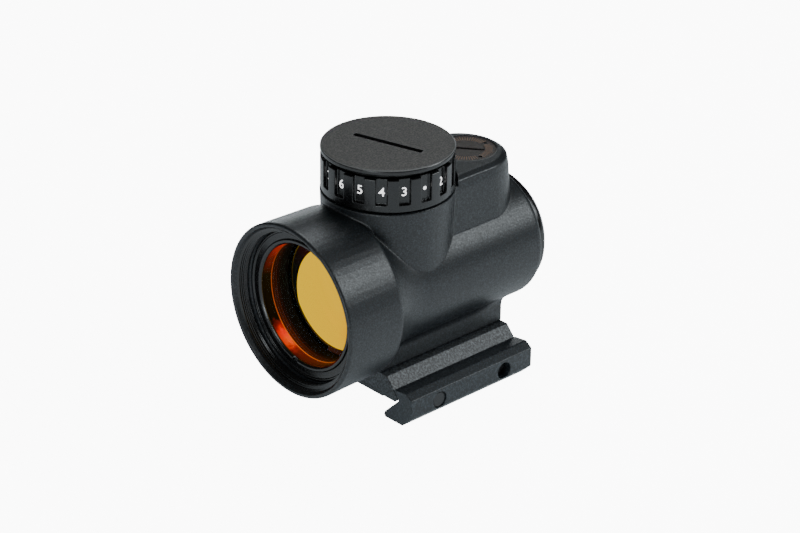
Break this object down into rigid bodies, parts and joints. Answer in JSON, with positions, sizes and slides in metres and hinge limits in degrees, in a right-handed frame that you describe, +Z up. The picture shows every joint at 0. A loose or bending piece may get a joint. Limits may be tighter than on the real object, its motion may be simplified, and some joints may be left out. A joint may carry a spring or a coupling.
{
  "type": "red dot finder",
  "caption": "Compact tube-type reflex sight on a rail clamp, with a top brightness dial, coin-slot battery cap and flush elevation and windage adjusters.",
  "frame": {"origin": "centre of the flat seat of the mount base, which rests on the rail", "axes": "+X towards the target along the optical axis, +Y to the left as the user looks through it, +Z up away from the rail"},
  "size_m": [0.066, 0.0406, 0.0611],
  "materials": {
    "anodised_body": "fine bead-blasted, matte black anodised",
    "anodised_inner": "turned, satin black anodised",
    "anodised_mount": "coarse bead-blasted, black anodised",
    "anodised_bar": "bead-blasted, black anodised, smooth outer face",
    "dial_black": "satin black anodised with filled white numerals",
    "cap_black": "matte black anodised with a bright turned edge",
    "adjuster_black": "dark bronze-black anodised, engraved scale",
    "plain_aluminium": "plain turned",
    "black_steel": "black oxide",
    "bright_steel": "bright",
    "cell_steel": "nickel plated",
    "brass": "turned",
    "spring_bronze": "rolled, plated",
    "coated_glass": "polished, amber reflecting coating",
    "amber_glass": "polished, amber dichroic coating",
    "clear_glass": "polished, anti-reflection coating",
    "rubber_black": "moulded",
    "black_plastic": "moulded",
    "white_nylon": "turned",
    "board_green": "solder-mask coated glass epoxy",
    "flex_film": "polyimide film",
    "red_lens": "clear red epoxy"
  },
  "bodies": {
    "housing": {"housing": "anodised_body", "lens_retaining_ring": "anodised_inner", "objective_window": "coated_glass", "objective_seal": "rubber_black", "baffle_ring": "anodised_inner", "gimbal_carrier": "plain_aluminium", "gimbal_outer_pins": "bright_steel", "bias_spring": "bright_steel", "ocular_ring": "anodised_body", "ocular_window": "clear_glass", "ocular_seal": "rubber_black", "elevation_bezel": "adjuster_black", "windage_bezel": "adjuster_black", "dial_snap_ring": "bright_steel", "detent_spring": "bright_steel", "circuit_board": "board_green", "driver_chip": "black_plastic", "chip_resistors": "black_plastic", "board_screws": "bright_steel", "flex_cable": "flex_film", "mount_base": "anodised_mount", "mount_screws": "black_steel", "clamp_washers": "black_steel"},
    "gimbal_ring": {"gimbal_ring": "brass", "gimbal_inner_pins": "bright_steel"},
    "inner_tube": {"inner_tube": "anodised_inner", "collimating_lens": "amber_glass", "lens_cell_ring": "anodised_inner", "emitter_block": "black_plastic", "led_emitter": "red_lens", "emitter_screws": "bright_steel"},
    "elevation_knob": {"elevation_knob": "adjuster_black", "elevation_o_ring": "rubber_black"},
    "elevation_plunger": {"elevation_plunger": "brass"},
    "windage_knob": {"windage_knob": "adjuster_black", "windage_o_ring": "rubber_black"},
    "windage_plunger": {"windage_plunger": "brass"},
    "brightness_dial": {"brightness_dial": "dial_black", "dial_o_ring": "rubber_black", "battery": "cell_steel", "battery_contact": "spring_bronze", "contact_stud": "brass", "contact_insulator": "white_nylon", "wiper": "spring_bronze"},
    "cap_seal": {"cap_o_ring": "rubber_black"},
    "battery_cap": {"battery_cap": "cap_black", "cap_contact": "spring_bronze"},
    "detent_ball": {"detent_ball": "bright_steel"},
    "clamp_bar": {"clamp_bar": "anodised_bar"},
    "clamp_screw_front": {"clamp_screw_front": "black_steel"},
    "clamp_screw_rear": {"clamp_screw_rear": "black_steel"}
  },
  "joints": [
    {"name": "elevation_turn", "type": "hinge", "parent": "housing", "child": "elevation_knob", "pos_m": [-0.0136, 0, 0.0467], "axis": [0, 0, 1], "range_deg": [-405, 405]},
    {"name": "elevation_travel", "type": "slide", "parent": "housing", "child": "elevation_plunger", "axis": [0, 0, 1], "range_m": [-0.00055, 0.00055]},
    {"name": "elevation_tilt", "type": "hinge", "parent": "housing", "child": "gimbal_ring", "pos_m": [0.0236, 0, 0.0248], "axis": [0, 1, 0], "range_deg": [-0.86, 0.86]},
    {"name": "windage_turn", "type": "hinge", "parent": "housing", "child": "windage_knob", "pos_m": [-0.0136, -0.0192, 0.0248], "axis": [0, -1, 0], "range_deg": [-405, 405]},
    {"name": "windage_travel", "type": "slide", "parent": "housing", "child": "windage_plunger", "axis": [0, -1, 0], "range_m": [-0.00055, 0.00055]},
    {"name": "windage_tilt", "type": "hinge", "parent": "gimbal_ring", "child": "inner_tube", "pos_m": [0.0236, 0, 0.0248], "axis": [0, 0, 1], "range_deg": [-0.86, 0.86]},
    {"name": "brightness_turn", "type": "hinge", "parent": "housing", "child": "brightness_dial", "pos_m": [0.0101, 0, 0.0501], "axis": [0, 0, 1], "range_deg": [-260, 0]},
    {"name": "cap_lift", "type": "slide", "parent": "brightness_dial", "child": "cap_seal", "axis": [0, 0, 1], "range_m": [0, 0.0023]},
    {"name": "cap_turn", "type": "hinge", "parent": "cap_seal", "child": "battery_cap", "pos_m": [0.0101, 0, 0.0556], "axis": [0, 0, 1], "range_deg": [0, 1080]},
    {"name": "detent_press", "type": "slide", "parent": "housing", "child": "detent_ball", "axis": [0, 0, -1], "range_m": [0, 0.0003], "stiffness_N_per_m": 300, "springref_m": -0.001},
    {"name": "clamp_turn_front", "type": "hinge", "parent": "housing", "child": "clamp_screw_front", "pos_m": [0.01, 0, -0.00025], "axis": [0, -1, 0], "range_deg": [0, 1460]},
    {"name": "clamp_turn_rear", "type": "hinge", "parent": "housing", "child": "clamp_screw_rear", "pos_m": [-0.01, 0, -0.00025], "axis": [0, -1, 0], "range_deg": [0, 1460]},
    {"name": "clamp_open", "type": "slide", "parent": "housing", "child": "clamp_bar", "axis": [0, 1, 0], "range_m": [0, 0.0028]}
  ],
  "couplings": [
    {"joint": "elevation_turn", "follows": "elevation_travel", "rad_per_m": -12566},
    {"joint": "elevation_tilt", "follows": "elevation_travel", "rad_per_m": 26.882},
    {"joint": "windage_turn", "follows": "windage_travel", "rad_per_m": -12566},
    {"joint": "windage_tilt", "follows": "windage_travel", "rad_per_m": 26.882},
    {"joint": "cap_lift", "follows": "cap_turn", "m_per_rad": 0.00011937},
    {"joint": "clamp_turn_front", "follows": "clamp_open", "rad_per_m": 8976},
    {"joint": "clamp_turn_rear", "follows": "clamp_open", "rad_per_m": 8976}
  ]
}
